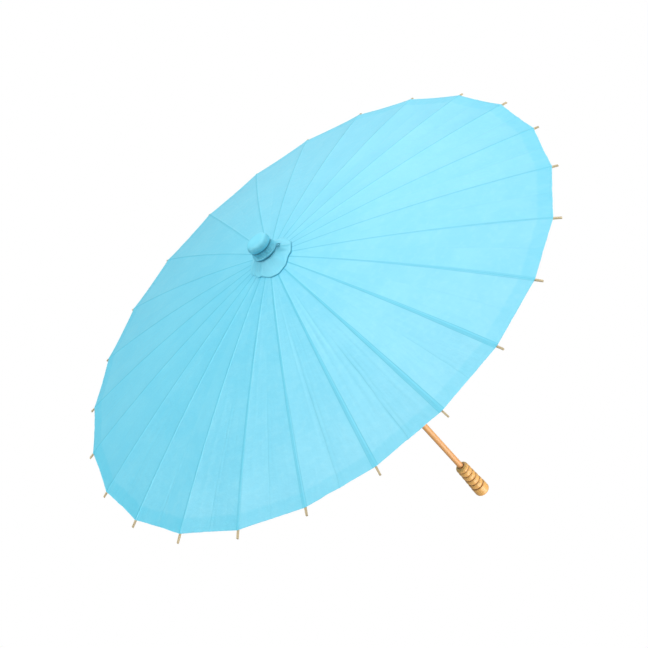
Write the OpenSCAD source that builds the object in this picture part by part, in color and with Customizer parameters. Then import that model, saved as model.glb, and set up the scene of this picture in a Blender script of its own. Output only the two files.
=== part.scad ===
// Oil paper umbrella: a folding parasol of bamboo ribs, paper and a turned wooden handle.
// Millimetres. The origin is the middle of the handle's end face, and +Z runs up the shaft.

/* [Canopy] */
// Radius of the paper at its corners, where the ribs cross the rim
canopy_r = 406; // [390:1:420]
// Height of the canopy's peak above its rim
canopy_rise = 92; // [86:1:98]
// How far the ribs bow above a straight line
rib_camber = 8; // [5:1:11]
// Thickness of the oiled paper
paper_t = 0.3; // [0.2:0.05:0.4]
// Height of the rim above the handle's end
rim_z = 520; // [510:1:540]

/* [Ribs and stretchers] */
// Thickness of a rib, top to bottom
rib_t = 2.4; // [2.2:0.1:2.6]
// Width of a rib over its outer part
rib_w = 3.6; // [3.4:0.1:4.2]
// How far the rib tips stand out past the paper, on average
tip_out = 8.3; // [7:0.1:11]
// How much longer or shorter than that a tip may be
tip_uneven = 3.8; // [0:0.1:4]
// Width of a rib's thinned tip
tip_w = 2.4; // [2:0.1:3]
// Distance from the shaft's axis to a rib's joint with its stretcher
joint_r = 170; // [165:1:175]
// Thickness of a stretcher
stretcher_t = 2; // [1.8:0.1:2.2]
// Width of a stretcher
stretcher_w = 3.2; // [2.8:0.1:3.4]

/* [Shaft and handle] */
// Diameter of the shaft
shaft_d = 10; // [9.6:0.1:10.2]
// Diameter of the handle's end bead
end_bead_d = 25.6; // [25:0.1:27]
// Depth of the grooves between the beads
groove_depth = 1.2; // [0.8:0.1:1.6]

/* [Hubs] */
// Outside diameter of the two slotted hubs
hub_d = 30; // [29.6:0.1:31]
// Overall length of the runner
runner_l = 49; // [44:1:52]

/* [Cap] */
// Radius of the cap's hem
cap_hem_r = 36; // [33:1:39]
// Height of the cap above its hem
cap_h = 39; // [38:1:41]

/* [Hidden] */
$fn = 48;
rib_count = 24;
rib_step = 360 / rib_count;
names = [for (i = [1:rib_count]) str(i < 10 ? "0" : "", i)];

// Clearances: a tight fit, a running fit, and paper above bamboo.
tight = 0.02;
running = 0.06;
paper_gap = 0.45;

// Pivots. A is a rib's pivot in the top hub, C its joint with the stretcher, B the runner's pivot.
pivot_r = 13;
function crease_z(r) = let (u = r / canopy_r) rim_z + canopy_rise * (1 - u) + 4 * rib_camber * u * (1 - u);
function rib_mid_z(r) = crease_z(r) - paper_t - paper_gap - rib_t / 2;
a_z = rib_mid_z(pivot_r);
c_z = rib_mid_z(joint_r);
b_z = 2 * c_z - a_z;
link_l = norm([joint_r - pivot_r, a_z - c_z]);
link_angle = atan2(a_z - c_z, joint_r - pivot_r);
pin_r = 0.5;
ring_r = 0.5;

// Ribs: a narrow tongue at the hub, widening outwards, with a slit for the stretcher at C.
function tip_r(i) = let (
    swing = 0.65 * cos((i - 16) * rib_step),
    jitter = 0.35 * sin(104 * i + 90)
) canopy_r + tip_out + tip_uneven * (swing + jitter);
rib_segments = 14;
rib_tongue_w = 1.5;
rib_tongue_end = 26;
rib_mid_r = 72;
rib_mid_w = 3.2;
rib_thin_r = 290;
slit_w = 1.7;
slit_in = 9;
slit_out = 32;

// Stretchers: a tongue at each end.
rib_end_tongue_w = 1.3;
rib_end_tongue_l = 35;
runner_end_tongue_w = 1.5;
runner_end_tongue_l = 14;
stretcher_full_l = 46;

// Slots in the hubs.
slot_w = 1.8;
slot_floor_r = 11.5;
slot_play = 0.3;
ring_groove_h = 1.2;
hub_core_r = 11.2;

// Shaft.
shaft_r = shaft_d / 2;
shaft_bottom_z = 15;
crown_z = crease_z(0);
shaft_top_z = crown_z + 22;

// Handle: the beads from the end up, each with its radius and its length.
beads = [
    [end_bead_d / 2, 20.5],
    [12.3, 11.3],
    [11.9, 11.3],
    [11.5, 11.3],
    [11.2, 11.3],
    [11, 8.5]
];
function bead_z(k) = k == 0 ? 0 : bead_z(k - 1) + beads[k - 1][1];
function groove_r(k) = min(beads[k - 1][0], beads[k][0]) - groove_depth;
handle_l = bead_z(len(beads));
handle_end_flat_r = 8.6;
handle_land_low = 4.5;
handle_land_high = 17;
top_bead_foot = 2.4;
top_bead_lip = 0.8;

// Runner.
flange_up = 5.5;
flange_down = 5;
waist_r = 8.6;
collar_r = 10.4;
collar_l = 12;
runner_bottom_z = b_z + flange_up - runner_l;

// Latch spring, in a slot on the +X side of the shaft, and the stop above the runner.
latch_gap = 0.8;
latch_top_z = runner_bottom_z - latch_gap;
latch_l = 44;
latch_pin_x = 0.8;
latch_pin_z = latch_top_z - latch_l;
latch_out_r = 8.1;
latch_t = 1.4;
latch_w = 1.6;
latch_slot_w = 2.2;
latch_slot_low_x = -0.8;
stop_pin_r = 0.9;
stop_pin_l = 16;
stop_pin_z = b_z + flange_up + 2.3;

// Canopy.
canopy_inner_r = hub_d / 2 + 1;
canopy_rings = 8;

// Cap: its two tied grooves, each with its height above the hem and its radius, and what lies between them.
cap_t = 0.6;
groove_w = 2.4;
ties = [[12.4, 18.3], [24.4, 16.3]];
hem_z = crease_z(cap_hem_r) + 0.9;
cap_neck_r = 13.8;
neck_r = 13.5;
cap_lid_t = 3.5;
skirt_h = 11.4;
skirt_top_r = 20;
band_r = 19.6;
gather_r = 17.1;
knob_r = 17.8;
knob_low_h = 28.4;
tie_r = 0.5;
tie_pitch = 1.05;

// A rib's side outline, out to its tip: its top edge outwards, then its bottom edge back.
module rib_side(tip) {
    radii = [for (k = [0:rib_segments]) pivot_r + (tip - pivot_r) * k / rib_segments];
    top = [for (r = radii) [r, rib_mid_z(r) + rib_t / 2]];
    bottom = [for (k = [rib_segments:-1:0]) [radii[k], rib_mid_z(radii[k]) - rib_t / 2]];
    polygon(concat(top, bottom));
    translate([pivot_r, a_z]) circle(d = rib_t);
}

// A rib's outline seen from above, along +X, out to its tip.
module rib_plan(tip) {
    edge = [
        [pivot_r - rib_t, rib_tongue_w / 2],
        [rib_tongue_end, rib_tongue_w / 2],
        [rib_mid_r, rib_mid_w / 2],
        [joint_r, rib_w / 2],
        [rib_thin_r, rib_w / 2],
        [tip, tip_w / 2]
    ];
    last = len(edge) - 1;
    polygon(concat(edge, [for (k = [last:-1:0]) [edge[k][0], -edge[k][1]]]));
}

// A hole or a pin across a rib, along Y.
module cross_cylinder(x, z, r, l) {
    translate([x, 0, z]) rotate([90, 0, 0]) cylinder(r = r, h = l, center = true);
}

// One rib, with the pin of its stretcher's joint, turned to its place round the shaft.
module rib(i) {
    color("burlywood") rotate([0, 0, i * rib_step]) {
        difference() {
            intersection() {
                rotate([90, 0, 0]) linear_extrude(height = 2 * rib_w, center = true) rib_side(tip_r(i));
                translate([0, 0, rim_z - canopy_rise])
                    linear_extrude(height = 3 * canopy_rise) rib_plan(tip_r(i));
            }
            translate([joint_r - slit_in, -slit_w / 2, c_z - canopy_rise / 2])
                cube([slit_in + slit_out, slit_w, canopy_rise]);
            cross_cylinder(pivot_r, a_z, ring_r + running, rib_w);
            cross_cylinder(joint_r, c_z, pin_r + tight, 2 * rib_w);
        }
        cross_cylinder(joint_r, c_z, pin_r, rib_w);
    }
}

// A stretcher's outline seen from above, from the runner's pivot at 0 to the rib's joint.
module stretcher_plan() {
    near = runner_end_tongue_w / 2;
    far = rib_end_tongue_w / 2;
    far_start = link_l - rib_end_tongue_l;
    edge = [
        [-stretcher_t, near],
        [runner_end_tongue_l, near],
        [stretcher_full_l, stretcher_w / 2],
        [far_start - 8, stretcher_w / 2],
        [far_start, far],
        [link_l + stretcher_t, far]
    ];
    last = len(edge) - 1;
    polygon(concat(edge, [for (k = [last:-1:0]) [edge[k][0], -edge[k][1]]]));
}

// One stretcher, from the runner up to its rib.
module stretcher(i) {
    color("tan") rotate([0, 0, i * rib_step]) translate([pivot_r, 0, b_z]) rotate([0, -link_angle, 0])
        difference() {
            intersection() {
                rotate([90, 0, 0]) linear_extrude(height = 2 * stretcher_w, center = true) {
                    translate([0, -stretcher_t / 2]) square([link_l, stretcher_t]);
                    circle(d = stretcher_t);
                    translate([link_l, 0]) circle(d = stretcher_t);
                }
                translate([0, 0, -stretcher_t]) linear_extrude(height = 2 * stretcher_t) stretcher_plan();
            }
            cross_cylinder(0, 0, ring_r + running, stretcher_w);
            cross_cylinder(link_l, 0, pin_r + running, stretcher_w);
        }
}

// The latch's side outline: a bar that leans out of the shaft as it rises, with a flat top.
module latch_side() {
    lean = latch_out_r - latch_t;
    hull() {
        translate([latch_pin_x, latch_pin_z]) circle(d = 2 * latch_t, $fn = 32);
        translate([lean, latch_top_z - latch_t]) square(latch_t);
    }
}

// Shaft, with the latch's slot and the two pins' holes.
module shaft() {
    color("burlywood") difference() {
        translate([0, 0, shaft_bottom_z]) cylinder(r = shaft_r, h = shaft_top_z - shaft_bottom_z);
        translate([latch_slot_low_x, -latch_slot_w / 2, latch_pin_z - 3])
            cube([shaft_d, latch_slot_w, latch_l + 6]);
        cross_cylinder(latch_pin_x, latch_pin_z, pin_r + tight, 2 * shaft_d);
        cross_cylinder(0, stop_pin_z, stop_pin_r + tight, 2 * shaft_d);
    }
}

// One middle bead's outline, from its lower groove to its upper one.
function bead_outline(k, steps) = let (
    r = beads[k][0],
    low = groove_r(k),
    high = groove_r(k + 1)
) [for (s = [0:steps]) let (
    t = s / steps,
    base = low + (high - low) * t
) [base + (r - base) * (1 - pow(abs(2 * t - 1), 3)), bead_z(k) + beads[k][1] * t]];

// The end bead: a flat end, a rounded corner, a straight land and a round shoulder.
function end_bead_outline(steps) = let (
    r = beads[0][0],
    shoulder = groove_r(1)
) concat(
    [[0, 0], [handle_end_flat_r, 0]],
    [for (s = [1:steps]) let (a = 90 * s / steps)
        [handle_end_flat_r + (r - handle_end_flat_r) * sin(a), handle_land_low * (1 - cos(a))]],
    [for (s = [0:steps]) let (a = 90 * s / steps)
        [shoulder + (r - shoulder) * cos(a), handle_land_high + (beads[0][1] - handle_land_high) * sin(a)]]
);

// The top bead: a short foot, then a dome that closes in on the shaft.
function top_bead_outline(steps) = let (
    k = len(beads) - 1,
    r = beads[k][0],
    lip = shaft_r + top_bead_lip,
    rise = beads[k][1] - top_bead_foot
) concat(
    [[groove_r(k) + 0.8 * groove_depth, bead_z(k) + top_bead_foot / 3]],
    [for (s = [0:steps]) let (a = 90 * s / steps)
        [lip + (r - lip) * cos(a), bead_z(k) + top_bead_foot + rise * sin(a)]]
);

// Handle: turned beads, bored for the shaft.
module handle() {
    outline = concat(
        end_bead_outline(6),
        [for (k = [1:len(beads) - 2]) for (p = bead_outline(k, 10)) if (p[1] > bead_z(k)) p],
        top_bead_outline(6),
        [[0, handle_l]]
    );
    color("peru") difference() {
        rotate_extrude($fn = 96) polygon(outline);
        translate([0, 0, shaft_bottom_z]) cylinder(r = shaft_r + tight, h = handle_l);
    }
}

// The radial slots of a hub, each from the slot floor outwards, between two heights.
module slots(low, high) {
    for (i = [0:rib_count - 1])
        rotate([0, 0, i * rib_step]) translate([slot_floor_r, -slot_w / 2, low])
            cube([hub_d, slot_w, high - low]);
}

// The groove that a pivot ring lies in.
module ring_groove(z) {
    translate([0, 0, z - ring_groove_h / 2]) difference() {
        cylinder(d = 2 * hub_d, h = ring_groove_h);
        translate([0, 0, -1]) cylinder(r = pivot_r - ring_r - running, h = ring_groove_h + 2);
    }
}

// Top hub: a core, a slotted head that holds the ribs, and the neck inside the cap.
module top_hub() {
    head_low = a_z - 6;
    head_high = a_z + rib_t / 2 + slot_play + 2;
    neck_top = hem_z + cap_h - cap_lid_t - 0.1;
    color("wheat") difference() {
        union() {
            translate([0, 0, head_low - 8]) cylinder(r = hub_core_r, h = 10);
            translate([0, 0, head_low]) cylinder(d = hub_d, h = head_high - head_low);
            translate([0, 0, head_high - 1]) cylinder(r = neck_r, h = neck_top - head_high + 1);
        }
        translate([0, 0, head_low - 10]) cylinder(r = shaft_r + tight, h = shaft_top_z - head_low + 10.5);
        slots(head_low - 1, a_z + rib_t / 2 + slot_play);
        ring_groove(a_z);
    }
}

// A ring of wire through the ends of the ribs or the stretchers.
module pivot_ring(z) {
    color("slategray") translate([0, 0, z]) rotate_extrude() translate([pivot_r, 0]) circle(r = ring_r);
}

// Runner: a slotted flange that holds the stretchers, a waist and a collar to push it by.
module runner() {
    flange_low = b_z - flange_down;
    color("wheat") difference() {
        union() {
            translate([0, 0, flange_low]) cylinder(d = hub_d, h = flange_down + flange_up);
            translate([0, 0, runner_bottom_z]) cylinder(r = waist_r, h = flange_low - runner_bottom_z + 1);
            translate([0, 0, runner_bottom_z + 1]) cylinder(r = collar_r, h = collar_l);
        }
        translate([0, 0, runner_bottom_z - 1]) cylinder(r = shaft_r + running, h = runner_l + 2);
        slots(b_z - stretcher_t / 2 - slot_play, b_z + flange_up + 1);
        ring_groove(b_z);
    }
}

// Latch spring: holds the runner up when it springs out, and lets it down when pressed in.
module latch_spring() {
    color("tan") difference() {
        rotate([90, 0, 0]) linear_extrude(height = latch_w, center = true) latch_side();
        cross_cylinder(latch_pin_x, latch_pin_z, pin_r + running, latch_slot_w);
    }
}

// The pin that the latch turns on.
module latch_pin() {
    color("slategray") cross_cylinder(latch_pin_x, latch_pin_z, pin_r, 0.95 * shaft_d);
}

// The peg that stops the runner below the top hub.
module stop_pin() {
    color("tan") cross_cylinder(0, stop_pin_z, stop_pin_r, stop_pin_l);
}

// Canopy: flat paper panels between the ribs, bowed along them, open at the middle for the hub.
module canopy() {
    width = canopy_r - canopy_inner_r;
    radii = [for (k = [0:canopy_rings]) canopy_inner_r + width * k / canopy_rings];
    function ring(r, drop) = [for (i = [0:rib_count - 1])
        [r * cos(i * rib_step), r * sin(i * rib_step), crease_z(r) - drop]];
    outer = [for (r = radii) each ring(r, 0)];
    inner = [for (r = radii) each ring(r, paper_t)];
    shift = len(outer);
    function at(k, i) = k * rib_count + i % rib_count;
    last = canopy_rings;
    spans = [for (k = [0:last - 1]) for (i = [0:rib_count - 1]) [k, i]];
    top = [for (s = spans) each [
        [at(s[0], s[1]), at(s[0] + 1, s[1] + 1), at(s[0] + 1, s[1])],
        [at(s[0], s[1]), at(s[0], s[1] + 1), at(s[0] + 1, s[1] + 1)]
    ]];
    under = [for (f = top) [f[0] + shift, f[2] + shift, f[1] + shift]];
    rim = [for (i = [0:rib_count - 1]) each [
        [at(last, i), at(last, i + 1), at(last, i + 1) + shift],
        [at(last, i), at(last, i + 1) + shift, at(last, i) + shift]
    ]];
    eye = [for (i = [0:rib_count - 1]) each [
        [at(0, i), at(0, i + 1) + shift, at(0, i + 1)],
        [at(0, i), at(0, i) + shift, at(0, i + 1) + shift]
    ]];
    color("skyblue") polyhedron(points = concat(outer, inner), faces = concat(top, under, rim, eye));
}

// Cap: paper gathered round the hub's neck, tied in two grooves, with a flared skirt.
module crown_cap() {
    skirt_steps = 6;
    function skirt_r(t) = cap_hem_r + (skirt_top_r - cap_hem_r) * t;
    function skirt_z(t) = skirt_h * pow(t, 1.2);
    skirt_top = [for (s = [0:skirt_steps]) let (t = s / skirt_steps) [skirt_r(t), cap_t + skirt_z(t)]];
    skirt_under = [for (s = [skirt_steps - 2:-1:0]) let (t = s / skirt_steps) [skirt_r(t), skirt_z(t)]];
    low = ties[0];
    high = ties[1];
    neck = [
        [low[1], low[0]],
        [low[1], low[0] + groove_w],
        [band_r, low[0] + groove_w + 0.8],
        [band_r, low[0] + groove_w + 2],
        [gather_r, low[0] + groove_w + 5],
        [gather_r, high[0] - 0.6],
        [high[1], high[0]],
        [high[1], high[0] + groove_w],
        [knob_r, knob_low_h]
    ];
    crown = [for (s = [0:5]) let (a = 15 * s)
        [knob_r * pow(cos(a), 0.5), knob_low_h + 1 + (cap_h - knob_low_h - 1) * pow(sin(a), 0.9)]];
    inside = [
        [0, cap_h],
        [0, cap_h - cap_lid_t],
        [cap_neck_r, cap_h - cap_lid_t],
        [cap_neck_r, skirt_h - 2]
    ];
    color("skyblue") translate([0, 0, hem_z]) rotate_extrude($fn = 96)
        polygon(concat(skirt_top, neck, crown, inside, skirt_under));
}

// The thread tied round the cap: two turns in each groove.
module cap_tie() {
    color("steelblue") for (tie = ties, turn = [-0.5, 0.5])
        translate([0, 0, hem_z + tie[0] + groove_w / 2 + turn * tie_pitch]) rotate_extrude()
            translate([tie[1] + tie_r + tight, 0]) circle(r = tie_r);
}

for (i = [0:rib_count - 1]) {
    rib(i);
    stretcher(i);
}
shaft();
handle();
top_hub();
pivot_ring(a_z);  // hub_ring
runner();
pivot_ring(b_z);  // runner_ring
latch_spring();
latch_pin();
stop_pin();
canopy();
crown_cap();
cap_tie();
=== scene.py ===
"""Looks of an oil paper umbrella: paper, bamboo, turned wood and thread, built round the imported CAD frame."""

import math

import bpy
import numpy as np
from mathutils import Matrix, Vector


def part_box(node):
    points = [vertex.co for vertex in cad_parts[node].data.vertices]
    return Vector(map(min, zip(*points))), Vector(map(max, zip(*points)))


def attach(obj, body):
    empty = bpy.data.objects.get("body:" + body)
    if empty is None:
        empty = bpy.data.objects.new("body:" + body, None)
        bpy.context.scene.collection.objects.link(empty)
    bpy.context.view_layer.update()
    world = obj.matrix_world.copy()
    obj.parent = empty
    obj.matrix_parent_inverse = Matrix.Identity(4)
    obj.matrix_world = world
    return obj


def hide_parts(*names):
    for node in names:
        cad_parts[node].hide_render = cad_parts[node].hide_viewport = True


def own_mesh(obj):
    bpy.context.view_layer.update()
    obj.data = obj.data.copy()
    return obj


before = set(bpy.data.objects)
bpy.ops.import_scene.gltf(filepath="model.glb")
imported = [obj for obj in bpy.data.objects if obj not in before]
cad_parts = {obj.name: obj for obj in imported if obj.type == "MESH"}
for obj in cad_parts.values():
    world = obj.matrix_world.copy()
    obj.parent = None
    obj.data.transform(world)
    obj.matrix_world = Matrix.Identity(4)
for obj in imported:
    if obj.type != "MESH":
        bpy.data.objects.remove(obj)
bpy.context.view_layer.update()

# ---------------------------------------------------------------- sizes, in metres, from the frame
RIBS = 24
STEP = 2 * math.pi / RIBS
PAPER = 0.0003
CANOPY_LOW, CANOPY_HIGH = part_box("canopy")
RIM_R = CANOPY_HIGH.x
RIM_Z = CANOPY_LOW.z + PAPER
EYE_R = 0.016
CAMBER = 0.008
EYE_SHARE = EYE_R / RIM_R
RISE = (CANOPY_HIGH.z - RIM_Z - 4 * CAMBER * EYE_SHARE * (1 - EYE_SHARE)) / (1 - EYE_SHARE)
RIB_NAMES = [f"rib_{i + 1:02d}" for i in range(RIBS)]
STRETCHER_NAMES = [f"stretcher_{i + 1:02d}" for i in range(RIBS)]


def crease_z(r):
    """Height of the CAD canopy along a rib, at a distance r from the shaft's axis."""
    u = r / RIM_R
    return RIM_Z + RISE * (1 - u) + 4 * CAMBER * u * (1 - u)


def smooth(x, low, high):
    """A smooth step from 0 at low to 1 at high."""
    t = np.clip((x - low) / (high - low), 0, 1)
    return t * t * (3 - 2 * t)


def lattice(i, j, seed):
    """A random value from -1 to 1 at each whole i, j."""
    h = np.sin(i * 127.1 + j * 311.7 + seed * 74.7) * 4375.85453
    return 2 * (h - np.floor(h)) - 1


def soft_noise(x, y, seed):
    """Smooth random waves about 1 long, from -1 to 1."""
    i, j = np.floor(x), np.floor(y)
    u, v = smooth(x - i, 0, 1), smooth(y - j, 0, 1)
    low = lattice(i, j, seed) * (1 - u) + lattice(i + 1, j, seed) * u
    high = lattice(i, j + 1, seed) * (1 - u) + lattice(i + 1, j + 1, seed) * u
    return low * (1 - v) + high * v


# ---------------------------------------------------------------- materials
class Shader:
    """A material with one Principled BSDF, and short calls for the nodes that feed it."""

    def __init__(self, name, **fixed):
        self.material = bpy.data.materials.new(name)
        self.material.use_nodes = True
        self.tree = self.material.node_tree
        self.bsdf = next(n for n in self.tree.nodes if n.type == "BSDF_PRINCIPLED")
        for key, value in fixed.items():
            self.bsdf.inputs[key.replace("_", " ")].default_value = value

    def node(self, kind, inputs=(), **settings):
        n = self.tree.nodes.new(kind)
        for key, value in settings.items():
            setattr(n, key, value)
        for key, value in dict(inputs).items():
            self.put(n.inputs[key], value)
        return n

    def put(self, socket, value):
        if isinstance(value, bpy.types.NodeSocket):
            self.tree.links.new(value, socket)
        else:
            socket.default_value = value

    def set(self, name, value):
        self.put(self.bsdf.inputs[name], value)

    def math(self, operation, *values):
        n = self.node("ShaderNodeMath", operation=operation)
        for socket, value in zip(n.inputs, values):
            self.put(socket, value)
        return n.outputs[0]

    def step(self, value, low, high, to_low=0.0, to_high=1.0):
        """A smooth step of value, from to_low at low to to_high at high."""
        n = self.node("ShaderNodeMapRange", interpolation_type="SMOOTHSTEP")
        names = ("Value", "From Min", "From Max", "To Min", "To Max")
        for key, v in zip(names, (value, low, high, to_low, to_high)):
            self.put(n.inputs[key], v)
        return n.outputs["Result"]

    def mix(self, share, a, b):
        n = self.node("ShaderNodeMix", data_type="RGBA")
        self.put(n.inputs["Factor"], share)
        self.put(n.inputs[6], a)
        self.put(n.inputs[7], b)
        return n.outputs[2]

    def vector(self, x=0.0, y=0.0, z=0.0):
        return self.node("ShaderNodeCombineXYZ", {"X": x, "Y": y, "Z": z}).outputs[0]

    def noise(self, vector, scale, detail=3.0, roughness=0.5, distortion=0.0):
        n = self.node("ShaderNodeTexNoise", {"Vector": vector, "Scale": scale, "Detail": detail})
        n.inputs["Roughness"].default_value = roughness
        n.inputs["Distortion"].default_value = distortion
        return n.outputs["Fac"]

    def split(self, vector):
        return self.node("ShaderNodeSeparateXYZ", {"Vector": vector}).outputs

    def attribute(self, name):
        return self.node("ShaderNodeAttribute", attribute_name=name).outputs["Fac"]

    def object_mm(self):
        """Rest coordinates in millimetres."""
        place = self.node("ShaderNodeTexCoord").outputs["Object"]
        scaled = self.node("ShaderNodeVectorMath", {0: place, 1: (1000, 1000, 1000)}, operation="MULTIPLY")
        return scaled.outputs[0]

    def bump(self, *heights):
        """Bumps from pairs of a height socket and its depth in metres, one on another."""
        normal = None
        for height, depth in heights:
            n = self.node("ShaderNodeBump", {"Height": height, "Distance": depth})
            n.inputs["Strength"].default_value = 1.0
            if normal is not None:
                self.put(n.inputs["Normal"], normal)
            normal = n.outputs["Normal"]
        self.set("Normal", normal)


def color(r, g, b):
    return (r, g, b, 1.0)


PAPER_BASE = color(0.122, 0.655, 0.870)
PAPER_LIGHT = color(0.148, 0.680, 0.885)
PAPER_PALE = color(0.225, 0.725, 0.895)
# Doubled paper for the hem, and painted shade of the ribs seen through the paper.
PAPER_DOUBLED_AND_RIB_SHADE = color(0.030, 0.600, 0.830)
# Painted shade, for the dark lines along the ribs, the middle folds and the cap's creases.
PAPER_SHADE = color(0.020, 0.500, 0.690)


def paper_ground(s, flat):
    """The sheet itself: faint clouds, long pale fibres that cross, and the sockets for its bumps."""
    cloud = s.noise(flat, 0.016, 3.0, 0.55)
    mottle = s.noise(flat, 0.10, 4.0, 0.6)
    x, y, z = s.split(flat)
    tone = s.mix(s.step(cloud, 0.34, 0.68), PAPER_BASE, PAPER_LIGHT)
    tone = s.mix(s.step(mottle, 0.44, 0.72, 0.0, 0.30), tone, PAPER_PALE)
    fibres = 0.0
    for turn, scale in ((0.5, 0.55), (2.1, 0.8)):
        c, w = math.cos(turn), math.sin(turn)
        a = s.math("ADD", s.math("MULTIPLY", x, c), s.math("MULTIPLY", y, w))
        b = s.math("SUBTRACT", s.math("MULTIPLY", y, c), s.math("MULTIPLY", x, w))
        strand = s.noise(s.vector(s.math("MULTIPLY", a, 0.12), b, z), scale, 2.0, 0.55, 1.1)
        fibres = s.math("ADD", s.step(strand, 0.60, 0.76), fibres)
    tone = s.mix(s.math("MULTIPLY", fibres, 0.16), tone, PAPER_PALE)
    return tone, mottle, fibres


def gore_paper():
    """Oiled mulberry paper over one rib, with painted shade along the ribs and the middle folds. UV runs across
    and along the rib, in metres.
    """
    s = Shader("oiled_paper_panels", Specular_IOR_Level=1.0, Coat_Weight=0.5, Coat_Roughness=0.42)
    across, along, _ = s.split(s.node("ShaderNodeUVMap", uv_map="UVMap").outputs[0])
    across = s.math("MULTIPLY", across, 1000.0)
    along = s.math("MULTIPLY", along, 1000.0)
    seed = s.attribute("seed")
    band = s.attribute("band")
    tone, mottle, fibres = paper_ground(s, s.vector(across, along, seed))
    side = s.math("ABSOLUTE", across)
    # Painted shade: a darker band down each rib, the rib seen through the paper, wider and darker on ribs with
    # a larger band value; the same mask makes the paper rougher there.
    out = s.step(along, 30.0, 420.0)
    drift = s.noise(s.vector(seed, s.math("MULTIPLY", along, 0.016), 0.0), 1.0, 2.0)
    half = s.math("MULTIPLY_ADD", out, s.math("MULTIPLY_ADD", band, 3.0, 0.4),
                  s.math("MULTIPLY_ADD", drift, 1.2, 0.1))
    inside = s.math("SUBTRACT", half, side)
    strip = s.math("MULTIPLY", s.step(inside, -0.9, 0.7), s.math("MULTIPLY_ADD", band, 0.40, 0.14))
    tone = s.mix(strip, tone, PAPER_DOUBLED_AND_RIB_SHADE)
    # Painted shade: a dark line along the edge of each rib's band.
    edge = s.step(s.math("ABSOLUTE", s.math("ADD", inside, -0.3)), 0.9, 0.1, 0.0, 0.75)
    tone = s.mix(s.math("MULTIPLY", edge, band), tone, PAPER_SHADE)
    # Painted shade: a thin dark line right over each rib, darker on ribs whose band is faint.
    faded = s.math("MULTIPLY_ADD", band, -0.45, 0.72)
    tone = s.mix(s.math("MULTIPLY", s.step(side, 1.3, 0.4), faded), tone, PAPER_SHADE)
    # Painted shade along the old fold down the middle of each panel.
    tone = s.mix(s.math("MULTIPLY", s.attribute("fold"), 0.62), tone, PAPER_SHADE)
    ragged = s.noise(s.vector(s.math("MULTIPLY", across, 0.07), 0.0, seed), 1.0, 3.0)
    start = s.math("MULTIPLY_ADD", ragged, 9.0, 381.0)
    hem = s.step(s.math("SUBTRACT", along, start), -1.5, 3.0, 0.0, 0.42)
    patch = s.vector(s.math("MULTIPLY", across, 0.12), s.math("MULTIPLY", along, 0.06), seed)
    worn = s.noise(patch, 1.0, 3.0)
    tone = s.mix(s.math("MULTIPLY", hem, s.step(worn, 0.25, 0.65, 0.45, 1.0)), tone, PAPER_DOUBLED_AND_RIB_SHADE)
    long_wave = s.vector(s.math("MULTIPLY", across, 0.14), s.math("MULTIPLY", along, 0.012), seed)
    pucker = s.noise(long_wave, 1.0, 3.0)
    s.set("Base Color", tone)
    satin = s.step(mottle, 0.3, 0.7, 0.36, 0.48)
    s.set("Roughness", s.math("MULTIPLY_ADD", strip, 0.30, satin))
    s.bump((pucker, 0.0003), (mottle, 0.0004), (fibres, 0.00002))
    return s.material


def cap_paper():
    """The same paper on the cap, in rest coordinates, mixed paler all over as painted light, with painted shade
    in its creases.
    """
    s = Shader("oiled_paper_cap", Specular_IOR_Level=0.6, Coat_Weight=0.15, Coat_Roughness=0.42)
    tone, mottle, fibres = paper_ground(s, s.object_mm())
    # Painted light: the cap's paper is mixed 40% towards the pale tone so that the cap looks as brightly lit as
    # the canopy.
    tone = s.mix(0.40, tone, PAPER_PALE)
    # Painted shade in the cap's creases: under the knob, round the ties and along the hem.
    crease_shade = s.attribute("crease_shade")
    tone = s.mix(s.math("MULTIPLY", crease_shade, 0.75), tone, PAPER_SHADE)
    s.set("Base Color", tone)
    s.set("Roughness", s.step(mottle, 0.3, 0.7, 0.40, 0.52))
    s.bump((mottle, 0.0006), (fibres, 0.00002))
    return s.material


def bamboo(name, dark, light, knot_gap):
    """Split bamboo: straight fibres along the bar, and a darker node now and then."""
    s = Shader(name, Specular_IOR_Level=0.35)
    x, y, z = s.split(s.object_mm())
    r = s.math("SQRT", s.math("ADD", s.math("MULTIPLY", x, x), s.math("MULTIPLY", y, y)))
    turns = s.math("DIVIDE", s.math("ARCTAN2", y, x), STEP)
    index = s.math("ROUND", turns)
    across = s.math("MULTIPLY", s.math("MULTIPLY", s.math("SUBTRACT", turns, index), STEP), r)
    fibres = s.noise(s.vector(s.math("MULTIPLY", r, 0.02), s.math("MULTIPLY", across, 2.6),
                              s.math("MULTIPLY", z, 0.9)), 1.0, 4.0, 0.6)
    fine = s.noise(s.vector(s.math("MULTIPLY", r, 0.05), s.math("MULTIPLY", across, 7.0),
                            s.math("MULTIPLY", z, 3.0)), 1.0, 2.0)
    own = s.node("ShaderNodeTexWhiteNoise", {"W": index}, noise_dimensions="1D").outputs["Value"]
    tone = s.mix(s.step(fibres, 0.30, 0.70), color(*dark), color(*light))
    tone = s.mix(s.math("MULTIPLY", own, 0.35), tone, color(*[c * 0.62 for c in dark]))
    place = s.math("FLOORED_MODULO", s.math("ADD", r, s.math("MULTIPLY", own, knot_gap)), knot_gap)
    knot = s.step(s.math("ABSOLUTE", s.math("SUBTRACT", place, knot_gap / 2)), 2.6, 0.4, 0.0, 0.75)
    tone = s.mix(knot, tone, color(*[c * 0.42 for c in dark]))
    s.set("Base Color", tone)
    s.set("Roughness", s.step(fine, 0.3, 0.7, 0.45, 0.66))
    s.bump((knot, 0.0003), (fibres, 0.0004), (fine, 0.0001))
    return s.material


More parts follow.
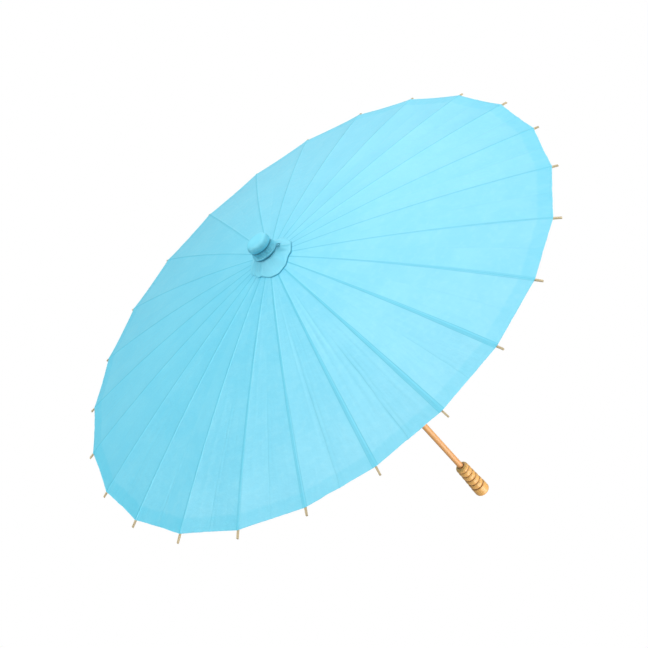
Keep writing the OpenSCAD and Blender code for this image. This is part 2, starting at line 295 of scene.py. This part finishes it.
def turned_wood(name, dark, light, grooves=(), joint=None):
    """Varnished wood turned on a lathe: long grain up the axis, darker lines at the given heights in mm, and a
    dark ring on the end face round the joint."""
    s = Shader(name, Specular_IOR_Level=0.5, Coat_Weight=0.22, Coat_Roughness=0.25)
    x, y, z = s.split(s.object_mm())
    slow = s.math("MULTIPLY", z, 0.018)
    coarse = s.vector(s.math("MULTIPLY", x, 0.22), s.math("MULTIPLY", y, 0.22), slow)
    grain = s.noise(coarse, 1.0, 2.0, 0.45, 0.4)
    streak = s.noise(s.vector(s.math("MULTIPLY", x, 0.5), s.math("MULTIPLY", y, 0.5), slow), 1.0, 1.0)
    ringed = s.math("PINGPONG", s.math("MULTIPLY", grain, 1.7), 1.0)
    tone = s.mix(s.step(ringed, 0.0, 1.0), color(*dark), color(*light))
    tone = s.mix(s.step(streak, 0.45, 0.75, 0.0, 0.30), tone, color(*[c * 0.80 for c in dark]))
    lathe = s.noise(s.vector(0.0, 0.0, s.math("MULTIPLY", z, 0.8)), 1.0, 1.0)
    dark_line = 0.0
    # Darker colour in bands round the given heights.
    for height, half in grooves:
        away = s.math("ABSOLUTE", s.math("SUBTRACT", z, height))
        dark_line = s.math("MAXIMUM", s.step(away, half, half * 0.15), dark_line)
    if joint:
        away = s.math("ABSOLUTE", s.math("SUBTRACT", z, joint[0]))
        radius = s.math("POWER", s.math("ADD", s.math("MULTIPLY", x, x), s.math("MULTIPLY", y, y)), 0.5)
        close = s.math("MULTIPLY", s.step(away, joint[1], 0.2), s.step(radius, 8.0, 5.4))
        dark_line = s.math("MAXIMUM", close, dark_line)
    if grooves:
        wander = s.noise(s.object_mm(), 0.25, 2.0)
        tone = s.mix(s.math("MULTIPLY", dark_line, s.step(wander, 0.2, 0.7, 0.55, 0.95)), tone,
                     color(0.27, 0.070, 0.012))
    s.set("Base Color", tone)
    s.set("Roughness", s.step(streak, 0.3, 0.7, 0.34, 0.46))
    s.bump((ringed, 0.00001), (streak, 0.00001), (lathe, 0.00001))
    return s.material


def thread_material():
    """Twisted thread, its strands running slantwise round the turns."""
    s = Shader("tie_thread", Roughness=0.7, Specular_IOR_Level=0.25, Sheen_Weight=0.25)
    x, y, z = s.split(s.object_mm())
    turn = s.math("ARCTAN2", y, x)
    strands = s.math("SINE", s.math("ADD", s.math("MULTIPLY", turn, 120.0), s.math("MULTIPLY", z, 7.0)))
    fuzz = s.noise(s.object_mm(), 3.0, 3.0)
    tone = s.mix(s.step(strands, -1.0, 1.0), color(0.030, 0.300, 0.440), color(0.090, 0.460, 0.620))
    s.set("Base Color", s.mix(s.step(fuzz, 0.5, 0.7, 0.0, 0.3), tone, color(0.18, 0.56, 0.70)))
    s.bump((strands, 0.0001), (fuzz, 0.0001))
    return s.material


def wire_material():
    """Drawn steel wire, slightly dull."""
    s = Shader("drawn_wire", Metallic=1.0)
    marks = s.noise(s.object_mm(), 1.2, 4.0, 0.7, 0.5)
    s.set("Base Color", s.mix(s.step(marks, 0.35, 0.65), color(0.42, 0.41, 0.40), color(0.62, 0.61, 0.60)))
    s.set("Roughness", s.step(marks, 0.3, 0.7, 0.26, 0.48))
    s.bump((marks, 0.00005))
    return s.material


# Heights on the handle in mm, as the materials read them.
GROOVE_HEIGHTS = [20.5 + 11.3 * k for k in range(5)]
HANDLE_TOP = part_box("handle")[1].z * 1000
PAPER_GORE = gore_paper()
PAPER_CAP = cap_paper()
RIB_BAMBOO = bamboo("rib_bamboo", (0.56, 0.44, 0.25), (0.74, 0.62, 0.40), 150.0)
STRETCHER_BAMBOO = bamboo("stretcher_bamboo", (0.50, 0.38, 0.23), (0.68, 0.55, 0.37), 90.0)
TURNED_HANDLE = turned_wood("turned_handle", (0.87, 0.375, 0.088), (0.97, 0.535, 0.155),
                            [(h, 1.7) for h in GROOVE_HEIGHTS], (HANDLE_TOP, 0.9))
TURNED_SHAFT = turned_wood("turned_shaft", (0.84, 0.33, 0.104), (0.96, 0.475, 0.168),
                           [(HANDLE_TOP + 0.5, 1.2)])
HUB_WOOD = turned_wood("hub_wood", (0.58, 0.40, 0.21), (0.74, 0.54, 0.31))
THREAD = thread_material()
WIRE = wire_material()


def dress(node, material):
    """Gives a CAD node its material."""
    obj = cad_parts[node]
    obj.data.materials.clear()
    obj.data.materials.append(material)


for rib_name in RIB_NAMES:
    dress(rib_name, RIB_BAMBOO)
for stretcher_name in STRETCHER_NAMES:
    dress(stretcher_name, STRETCHER_BAMBOO)
for node_name, node_material in {
    "shaft": TURNED_SHAFT, "handle": TURNED_HANDLE, "top_hub": HUB_WOOD, "runner": HUB_WOOD,
    "hub_ring": WIRE, "runner_ring": WIRE, "latch_pin": WIRE, "latch_spring": STRETCHER_BAMBOO,
    "stop_pin": STRETCHER_BAMBOO, "cap_tie": THREAD,
}.items():
    dress(node_name, node_material)


def add_piece(mesh, material):
    """Links a new object for a finished mesh, with one material and smooth faces."""
    mesh.polygons.foreach_set("use_smooth", [True] * len(mesh.polygons))
    mesh.materials.append(material)
    obj = bpy.data.objects.new(mesh.name, mesh)
    bpy.context.collection.objects.link(obj)
    return obj


def point_attribute(mesh, name, values):
    data = mesh.attributes.new(name, "FLOAT", "POINT")
    data.data.foreach_set("value", values)


# ---------------------------------------------------------------- canopy
ROWS = 62
COLUMNS = 46
STRIP_COLUMNS = 15
STRIP_HALF = 0.00185
STRIP_TAPER = 0.0028
SAG = 0.0011
SAG_REACH = 0.16
SETTLE = 0.0004
RIDGE = 0.00022
RIDGE_HALF = 0.0019
EDGE_PULL = 0.0009
RAGGED_EDGE = 0.00045
CREASE_DEPTH = 0.0007
COCKLE = 0.00016
HEM_WIDTH = 0.018
HEM_LAYERS = 1.5
NORMAL_STEP = 0.00025
# How strong the painted shade of each rib seen through the paper is, and how deep the old fold down the middle
# of each panel is and how dark its painted shade is.
RIB_SHADE = [0.12, 0.08, 0.08, 0.08, 0.08, 0.10, 0.08, 0.10, 0.08, 0.08, 0.08, 0.10,
        0.12, 0.16, 0.25, 0.50, 0.70, 0.90, 1.00, 0.90, 0.60, 0.32, 0.22, 0.14]
FOLD_DEPTH = [0.2, 0.1, 0.1, 0.1, 0.1, 0.1, 0.1, 0.1, 0.15, 0.15, 0.2, 0.2,
              0.2, 0.3, 0.4, 0.4, 0.55, 1.2, 0.25, 0.2, 0.25, 0.3, 0.4, 0.25]


def draw_folds(panel):
    """The soft folds of one panel: place across it, width, height, where each starts and fades, its lean."""
    rng = np.random.RandomState(100 + panel)
    near = FOLD_DEPTH[panel]
    tallest = 0.00006 + 0.00024 * near
    return [(rng.uniform(0.16, 0.84), rng.uniform(0.015, 0.05), rng.uniform(-1, 1) * tallest,
             rng.uniform(0.15, 0.55), rng.uniform(0.75, 1.1), rng.uniform(-0.06, 0.06)) for _ in range(6)]


FOLDS = [draw_folds(p) for p in range(RIBS)]


def middle_fold(panel, rho, t):
    """How strongly the old fold line down the middle of a panel shows at each point: it sets the fold's dip and
    its painted shade.
    """
    u = rho / RIM_R
    sway = 0.5 + 0.014 * soft_noise(u * 7.0, 0.5, panel + 7) + 0.006 * soft_noise(u * 23.0, 0.5, panel + 9)
    off = (t - sway) * rho * STEP
    line = np.exp(-np.abs(off) / 0.0010) + 0.4 * np.exp(-np.abs(off - 0.006) / 0.0011)
    worn = np.clip(1 + 0.8 * soft_noise(u * 11.0, 0.5, panel + 3), 0, None)
    return FOLD_DEPTH[panel % RIBS] * line * worn * smooth(u, 0.42, 0.85)


def panel_surface(panel, rho, t):
    """Points of the paper between rib number panel and the next, t across from 0 to 1, at radius rho."""
    share = rho / RIM_R
    middle = 4 * t * (1 - t)
    ragged = soft_noise(t * 9.0, 0.5, panel) + 0.6 * soft_noise(t * 31.0, 0.5, panel + 50)
    pulled = EDGE_PULL * smooth(share, 0.85, 1.0) + RAGGED_EDGE * ragged * smooth(share, 0.96, 1.0)
    rho = rho - middle * pulled
    u = rho / RIM_R
    a, b = panel * STEP, (panel + 1) * STEP
    x = rho * ((1 - t) * math.cos(a) + t * math.cos(b))
    y = rho * ((1 - t) * math.sin(a) + t * math.sin(b))
    z = crease_z(rho) - SETTLE
    near = np.minimum(t, 1 - t)
    lateral = near * rho * STEP
    sag = 0.7 * (1 - np.exp(-near / SAG_REACH)) + 0.3 * 2 * near
    z = z - SAG * sag * u ** 1.3
    z = z + RIDGE * smooth(u, 0.05, 0.25) * (1 - smooth(lateral, RIDGE_HALF - 0.0007, RIDGE_HALF + 0.0008))
    free = smooth(lateral, 0.003, 0.009)
    wave = 0.0
    for centre, width, height, start, end, lean in FOLDS[panel % RIBS]:
        along = smooth(u, start, start + 0.25) * (1 - smooth(u, end, end + 0.2))
        wave = wave + height * along * np.exp(-((t - centre - lean * (u - 0.6)) / width) ** 2)
    wave = wave - CREASE_DEPTH * middle_fold(panel, rho, t)
    cockle = soft_noise(x * 30, y * 30, 1.7) + 0.5 * soft_noise(x * 75, y * 75, 4.1)
    return np.stack([x, y, z + free * (wave + COCKLE * cockle * u)], -1)


def canopy_surface(i, rho, s):
    """Points of the paper round rib number i: s runs from -0.5 in the panel before it to 0.5 in the next."""
    before = panel_surface((i - 1) % RIBS, rho, 1 + s)
    after = panel_surface(i, rho, s)
    return np.where((s < 0)[..., None], before, after)


def strip_half(rho):
    """Half the width of the paper that stays flat on a rib, at radius rho; it grows towards the hub."""
    return np.minimum(STRIP_HALF + STRIP_TAPER * (RIM_R - rho), 0.96 * rho * math.sin(STEP / 2))


def paper_grid(i, shares):
    """Outer points, normals, radius and place across, for shares of a panel as a function of the radius."""
    radii = (EYE_R + (RIM_R - EYE_R) * np.arange(ROWS) / (ROWS - 1))[:, None]
    s = shares(radii)
    rho = radii + 0 * s
    points = canopy_surface(i, rho, s)
    side = NORMAL_STEP / (rho * STEP)
    out = canopy_surface(i, rho + NORMAL_STEP, s) - canopy_surface(i, rho - NORMAL_STEP, s)
    along = canopy_surface(i, rho, s + side) - canopy_surface(i, rho, s - side)
    normals = np.cross(out, along)
    normals /= np.linalg.norm(normals, axis=-1, keepdims=True)
    return points, normals, rho, s


def sheet_mesh(name, points, inner, flip):
    """A closed thin sheet between two grids of points, with sharp edges round its border."""
    rows, columns = points.shape[:2]
    shift = rows * columns
    faces = []
    for k in range(rows - 1):
        for c in range(columns - 1):
            a, b = k * columns + c, k * columns + c + 1
            d, e = a + columns, b + columns
            faces.append((a, d, e, b))
            faces.append((a + shift, b + shift, e + shift, d + shift))
    last, end = (rows - 1) * columns, columns - 1
    border = [(k * columns, (k + 1) * columns) for k in range(rows - 1)]
    border += [(last + c, last + c + 1) for c in range(columns - 1)]
    border += [((k + 1) * columns + end, k * columns + end) for k in range(rows - 1)]
    border += [(c + 1, c) for c in range(columns - 1)]
    faces += [(b, a, a + shift, b + shift) for a, b in border]
    if flip:
        faces = [f[::-1] for f in faces]
    mesh = bpy.data.meshes.new(name)
    vertices = np.concatenate([points.reshape(-1, 3), inner.reshape(-1, 3)])
    mesh.from_pydata(vertices.tolist(), [], faces)
    rim = {frozenset(pair) for pair in border} | {frozenset((a + shift, b + shift)) for a, b in border}
    corners = {0, end, last, last + end}
    rim |= {frozenset((c, c + shift)) for c in corners}
    sharp = mesh.attributes.new("sharp_edge", "BOOLEAN", "EDGE")
    sharp.data.foreach_set("value", [frozenset(e.vertices) in rim for e in mesh.edges])
    return mesh


def make_paper(i, side, shares):
    """One piece of the canopy that follows rib number i, and its widths along the rib."""
    points, normals, rho, s = paper_grid(i, shares)
    thick = PAPER * np.where(rho > RIM_R - HEM_WIDTH, HEM_LAYERS, 1.0)
    inner = points - normals * thick[..., None]
    mesh = sheet_mesh(f"canopy_{i + 1:02d}_{side}", points, inner, side == "right")
    angle = i * STEP
    across = points @ np.array([-math.sin(angle), math.cos(angle), 0])
    uv = np.stack([across, rho], -1).reshape(-1, 2)
    layer = mesh.uv_layers.new(name="UVMap")
    index = np.empty(len(mesh.loops), int)
    mesh.loops.foreach_get("vertex_index", index)
    layer.data.foreach_set("uv", uv[index % len(uv)].ravel())
    count = len(mesh.vertices)
    point_attribute(mesh, "seed", [i * 37.0] * count)
    point_attribute(mesh, "band", [RIB_SHADE[i]] * count)
    # Strength of the painted shade along the middle fold of each panel.
    fold = np.where(s < 0, middle_fold((i - 1) % RIBS, rho, 1 + s), middle_fold(i, rho, s))
    point_attribute(mesh, "fold", np.tile(np.clip(fold, 0, 1).ravel(), 2))
    paper = add_piece(mesh, PAPER_GORE)
    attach(paper, RIB_NAMES[i])
    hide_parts("canopy")
    return paper, np.ptp(s, axis=1) * rho[:, 0] * STEP


def make_strip(i):
    """The paper that is glued flat on rib number i."""
    even = np.sin(math.pi / 2 * np.linspace(-1, 1, STRIP_COLUMNS))
    make_paper(i, "middle", lambda rho: strip_half(rho) / (rho * STEP) * even)


def make_pleat(i, hand):
    """The paper from the edge of a rib's strip to the middle of the panel."""
    even = np.linspace(0, 1, COLUMNS)
    even = even - 0.8 * np.sin(2 * math.pi * even) / (2 * math.pi)

    def shares(rho):
        start = strip_half(rho) / (rho * STEP)
        return hand * (start + (0.5 - start) * even)

    pleat, widths = make_paper(i, "right" if hand < 0 else "left", shares)
    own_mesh(pleat)


for rib_index in range(RIBS):
    make_strip(rib_index)
    for hand in (-1, 1):
        make_pleat(rib_index, hand)


# ---------------------------------------------------------------- cap
CAP_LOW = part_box("crown_cap")[0]
CAP_SECTORS = 240
CAP_CORNERS = 10
CAP_PAPER = 0.0006
# Radii, and heights above the hem: flared skirt, band over the lower tie, gathered neck, knob.
HEM_R = 0.0363
HEM_LIFT = 0.0002
SKIRT_IN = 0.0168
SKIRT_UP = 0.0118
BAND_R = 0.0189
BAND_BULGE = 0.0011
BAND_FOOT = 0.0148
BAND_UP = 0.0026
NECK_IN = 0.0021
NECK_RIPPLE = 0.0003
NECK_FOOT = 0.0174
NECK_UP = 0.0068
KNOB_R = 0.0180
KNOB_FOOT = 0.0278
KNOB_UP = 0.0110
CROWN_TOP = 0.0388
# How far the skirt's soft folds, its crisp folds and its dents move it, and how deep the gathers are.
SOFT_FOLD = 0.0036
CRISP_FOLD = 0.0020
DENT = 0.0016
CORNER_LIFT = 0.0006
GATHER = 0.00055
# The hem's one loose corner: where it points, how far it reaches past the hem, and how wide it spreads.
FLAP_ANGLE = math.radians(-103)
FLAP_REACH = 0.0105
FLAP_SPREAD = math.radians(42)


def cap_profile():
    """The cap's outline from hem to crown: radius, height, and shares of folds, gathers and painted shade in
    the creases.
    """
    rows = [(0.0362, -0.0004, 1, 0, 0.1), (HEM_R, HEM_LIFT, 1, 0, 0)]
    for s in range(1, 15):
        t = s / 14
        radius = HEM_R - SKIRT_IN * t ** 0.92
        rows.append((radius, HEM_LIFT + SKIRT_UP * t ** 1.25, 1 - t, t * t, 0.25 * t ** 4))
    rows += [(0.0187, 0.0124, 0, 0.6, 0.5), (0.0186, 0.0142, 0, 0.6, 0.5)]
    for s in range(7):
        a = math.pi * s / 6
        height = BAND_FOOT + BAND_UP * (1 - math.cos(a)) / 2
        rows.append((BAND_R + BAND_BULGE * math.sin(a), height, 0, 0.8, 0.2 * math.cos(a) ** 2))
    for s in range(1, 11):
        t = s / 10
        radius = BAND_R - NECK_IN * math.sin(math.pi / 2 * t) + NECK_RIPPLE * math.sin(6 * math.pi * t)
        rows.append((radius, NECK_FOOT + NECK_UP * t, 0, 1.6, 0.30 + 0.4 * t))
    rows += [(0.0166, 0.0246, 0, 0.8, 0.6), (0.0166, 0.0266, 0, 0.8, 0.6)]
    for s in range(17):
        a = math.pi / 2 * s / 16
        radius = KNOB_R * max(math.cos(a), 0) ** 0.42
        height = KNOB_FOOT + KNOB_UP * math.sin(a) ** 0.7
        rows.append((radius, height, 0, 0.7 * math.cos(a) ** 2, 0.30 * (1 - smooth(a, 0, 0.3))))
    return rows[:-1]


def cap_point(r, h, skirt, gather, angle):
    """Points of the cap round one row, with the skirt's soft folds and the gathers of the neck."""
    corner = (angle / (2 * math.pi) * CAP_CORNERS + 0.30) % 1.0 - 0.5
    polygon = math.cos(math.pi / CAP_CORNERS) / np.cos(corner * 2 * math.pi / CAP_CORNERS)
    cx, cy = np.cos(angle), np.sin(angle)
    fold = soft_noise(cx * 1.7 + 9, cy * 1.7 + 5, 4)
    crisp = soft_noise(cx * 5.5 + 30, cy * 5.5 + 30 + h * 60, 7)
    tuck = soft_noise(cx * 9 + 60, cy * 9 + 60, 11)
    pleats = np.abs(np.sin(angle * 13 + 2.6 * fold + 1.5 * tuck)) ** 0.7
    pleats = pleats + 0.35 * np.sin(angle * 41 + 3 * crisp)
    swell = 4 * skirt * (1 - skirt)
    away = np.abs((angle - FLAP_ANGLE + math.pi) % (2 * math.pi) - math.pi)
    flap = FLAP_REACH * np.clip(1 - away / FLAP_SPREAD, 0, 1) * skirt ** 1.5
    radius = r * (1 + skirt * (polygon - 0.975)) + SOFT_FOLD * swell * fold + CRISP_FOLD * swell * crisp
    radius = radius + flap + gather * GATHER * (pleats - 0.6)
    dent = DENT * swell * np.exp(-((corner * 2) ** 2) * 5) * (0.5 + fold)
    z = CAP_LOW.z + h - dent + skirt * CORNER_LIFT * (np.abs(corner) * -2 + 1) - 0.20 * flap
    return np.stack([radius * cx, radius * cy, z + 0 * cx], -1)


def make_cap():
    """The crown cap: one gathered sheet from the hem over the neck to the crown, with a turned-in lining."""
    outline = cap_profile()
    angles = 2 * math.pi * np.arange(CAP_SECTORS) / CAP_SECTORS
    rings = [cap_point(r, h, skirt, gather, angles) for r, h, skirt, gather, _ in outline]
    lining = [(0.0360, -0.0006), (0.0310, 0.0022), (0.0250, 0.0062), (0.0195, 0.0090),
              (0.0139, 0.0105), (0.0139, 0.0090)]
    for j, (r, h) in enumerate(lining):
        share = max(0.0, 1 - j / 3)
        ring = cap_point(r, h, share, 0, angles)
        ring[:, 2] -= CAP_PAPER * share
        rings.append(ring)
    count = len(outline)
    faces = []
    for s in range(CAP_SECTORS):
        n = (s + 1) % CAP_SECTORS
        for k in range(count - 1):
            a, b = k * CAP_SECTORS, (k + 1) * CAP_SECTORS
            faces.append((a + s, a + n, b + n, b + s))
        faces.append((s, count * CAP_SECTORS + s, count * CAP_SECTORS + n, n))
        for j in range(count, count + len(lining) - 1):
            a, b = j * CAP_SECTORS, (j + 1) * CAP_SECTORS
            faces.append((a + s, b + s, b + n, a + n))
    vertices = np.concatenate(rings)
    top = len(vertices)
    vertices = np.concatenate([vertices, [[0, 0, CAP_LOW.z + CROWN_TOP]]])
    last = (count - 1) * CAP_SECTORS
    faces += [(last + s, last + (s + 1) % CAP_SECTORS, top) for s in range(CAP_SECTORS)]
    mesh = bpy.data.meshes.new("gathered_cap")
    mesh.from_pydata(vertices.tolist(), [], faces)
    tuck = soft_noise(np.cos(angles) * 9 + 60, np.sin(angles) * 9 + 60, 11)
    # Painted shade of the gathers and grooves, from the last column of the outline.
    shade = [np.clip(row[4] * (0.8 + 0.5 * tuck * min(1, row[3])), 0, 1) for row in outline]
    shade += [0 * angles] * len(lining) + [np.zeros(1)]
    point_attribute(mesh, "crease_shade", np.concatenate(shade))
    cap = add_piece(mesh, PAPER_CAP)
    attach(cap, "frame")
    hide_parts("crown_cap")


make_cap()


def thread_tube(name, path, flat, radius, sides=8):
    """A closed tube of thread along a path that lies nearly across the direction flat."""
    path = np.array(path)
    tangent = np.gradient(path, axis=0)
    tangent /= np.linalg.norm(tangent, axis=1, keepdims=True)
    side = np.cross(tangent, flat)
    side /= np.linalg.norm(side, axis=1, keepdims=True)
    up = np.cross(side, tangent)
    turns = 2 * math.pi * np.arange(sides) / sides
    rings = [p + radius * (math.cos(t) * a + math.sin(t) * b)
             for p, a, b in zip(path, side, up) for t in turns]
    faces = []
    for k in range(len(path) - 1):
        for c in range(sides):
            n = (c + 1) % sides
            faces.append((k * sides + c, (k + 1) * sides + c, (k + 1) * sides + n, k * sides + n))
    faces.append(tuple(range(sides)))
    faces.append(tuple(reversed(range((len(path) - 1) * sides, len(path) * sides))))
    mesh = bpy.data.meshes.new(name)
    mesh.from_pydata([tuple(r) for r in rings], [], faces)
    return mesh


LARGE_LOOP = 0.0040
SMALL_LOOP = 0.0024
LOOP_HALF = 0.0021
TAIL_DROOP = 0.00006
THREAD_R = 0.00048


def make_knot(azimuth, radius, height, lean):
    """The bow that ends the cap's lower tie: a large and a small loop, and one short tail."""
    a, e = math.radians(azimuth), math.radians(lean)
    out = np.array([math.cos(a) * math.cos(e), math.sin(a) * math.cos(e), math.sin(e)])
    across = np.array([-math.sin(a), math.cos(a), 0.0])
    up = np.cross(out, across)
    middle = np.array([math.cos(a) * radius, math.sin(a) * radius, CAP_LOW.z + height])
    path = []
    for k in range(73):
        t = 2.3 * math.pi * k / 72
        size = LARGE_LOOP if math.sin(t) > 0 else SMALL_LOOP
        lift = 0.0007 * math.cos(t) + 0.0005
        path.append(middle + size * math.sin(t) * across + LOOP_HALF * math.sin(2 * t) * up + lift * out)
    tail = path[-1] - path[-2]
    path += [path[-1] + tail * k - TAIL_DROOP * k * k * up for k in range(1, 9)]
    knot = add_piece(thread_tube("cap_tie_bow", path, out, THREAD_R), THREAD)
    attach(knot, "frame")


make_knot(azimuth=-38, radius=0.0222, height=0.0132, lean=42)


# ---------------------------------------------------------------- stage, light and camera
def area_light(name, azimuth, elevation, distance, size, power, tint=(1, 1, 1)):
    """A soft square light that faces the middle of the umbrella."""
    data = bpy.data.lights.new(name, "AREA")
    data.size = size
    data.energy = power
    data.color = tint
    light = bpy.data.objects.new(name, data)
    bpy.context.collection.objects.link(light)
    a, e = math.radians(azimuth), math.radians(elevation)
    away = Vector((math.cos(e) * math.cos(a), math.cos(e) * math.sin(a), math.sin(e)))
    light.location = Vector((0, 0, 0.4)) + distance * away
    light.rotation_euler = away.to_track_quat("Z", "Y").to_euler()
    light.visible_camera = False


def white_surface(name, mesh, strength):
    """A plain white stage piece that the camera sees, and that throws no light of its own on the object."""
    s = Shader(name + "_white", Roughness=0.9, Specular_IOR_Level=0.0)
    s.set("Base Color", color(0, 0, 0))
    s.set("Emission Color", color(1, 1, 1))
    s.set("Emission Strength", strength)
    mesh.materials.append(s.material)
    obj = bpy.data.objects.new(name, mesh)
    bpy.context.collection.objects.link(obj)
    obj.visible_diffuse = False
    obj.visible_glossy = False
    obj.visible_shadow = False


def make_stage(height, radius):
    """A round floor well below the umbrella, and a plain dome of backdrop over it."""
    sectors, bands = 96, 24
    angles = [2 * math.pi * s / sectors for s in range(sectors)]
    ring = [(radius * math.cos(a), radius * math.sin(a), height) for a in angles]
    floor = bpy.data.meshes.new("floor")
    floor.from_pydata(ring, [], [tuple(range(sectors))])
    white_surface("floor", floor, 1.0)
    vertices, faces = [], []
    for b in range(bands):
        a = math.pi / 2 * b / bands
        vertices += [(x * math.cos(a), y * math.cos(a), height + radius * math.sin(a)) for x, y, _ in ring]
    vertices.append((0, 0, height + radius))
    for b in range(bands - 1):
        for s in range(sectors):
            n = (s + 1) % sectors
            faces.append((b * sectors + s, (b + 1) * sectors + s, (b + 1) * sectors + n, b * sectors + n))
    low = (bands - 1) * sectors
    faces += [(low + s, len(vertices) - 1, low + (s + 1) % sectors) for s in range(sectors)]
    dome = bpy.data.meshes.new("backdrop")
    dome.from_pydata(vertices, [], faces)
    white_surface("backdrop", dome, 1.0)


def make_world(strength):
    world = bpy.data.worlds.new("studio")
    world.use_nodes = True
    background = next(n for n in world.node_tree.nodes if n.type == "BACKGROUND")
    background.inputs["Color"].default_value = color(1, 1, 1)
    background.inputs["Strength"].default_value = strength
    bpy.context.scene.world = world


def make_camera(turn, tilt, roll, side, lift, distance, lens):
    """The camera looks at the rim's middle, turned, tilted and rolled, from a little off its own axis."""
    view = Matrix.Rotation(math.radians(roll), 3, "Z") @ Matrix.Rotation(math.radians(tilt), 3, "X")
    view = view @ Matrix.Rotation(math.radians(turn), 3, "Z")
    back = view.transposed()
    data = bpy.data.cameras.new("camera")
    data.sensor_width = 36
    data.lens = lens
    camera = bpy.data.objects.new("camera", data)
    bpy.context.collection.objects.link(camera)
    place = Vector((0, 0, RIM_Z)) + back @ Vector((side, lift, distance))
    camera.matrix_world = Matrix.Translation(place) @ back.to_4x4()
    bpy.context.scene.camera = camera


make_stage(height=-3.0, radius=40)
make_world(strength=0.34)
WARM = (1.0, 0.98, 0.95)
area_light("side", -15, 2, 3.0, 1.5, 21, WARM)
area_light("front", -80, 9, 3.0, 1.5, 6)
area_light("back", 72, 13, 3.0, 1.5, 2.8)
area_light("left", 152, 24, 3.0, 1.5, 3.6)
area_light("top_left", 168, 64, 3.0, 2.0, 31.5)
area_light("top_right", 10, 70, 2.6, 2.0, 27.5)
area_light("sheen", 50, 33.5, 2.6, 1.4, 8.8)
area_light("gloss", 74, 62, 3.0, 1.0, 4.8)
area_light("bounce", -70, -42, 2.6, 2.0, 50, WARM)
make_camera(turn=3.73, tilt=-56.64, roll=42.46, side=0.0267, lift=-0.0414, distance=1.988, lens=75.4)
bpy.context.scene.view_settings.view_transform = "Standard"
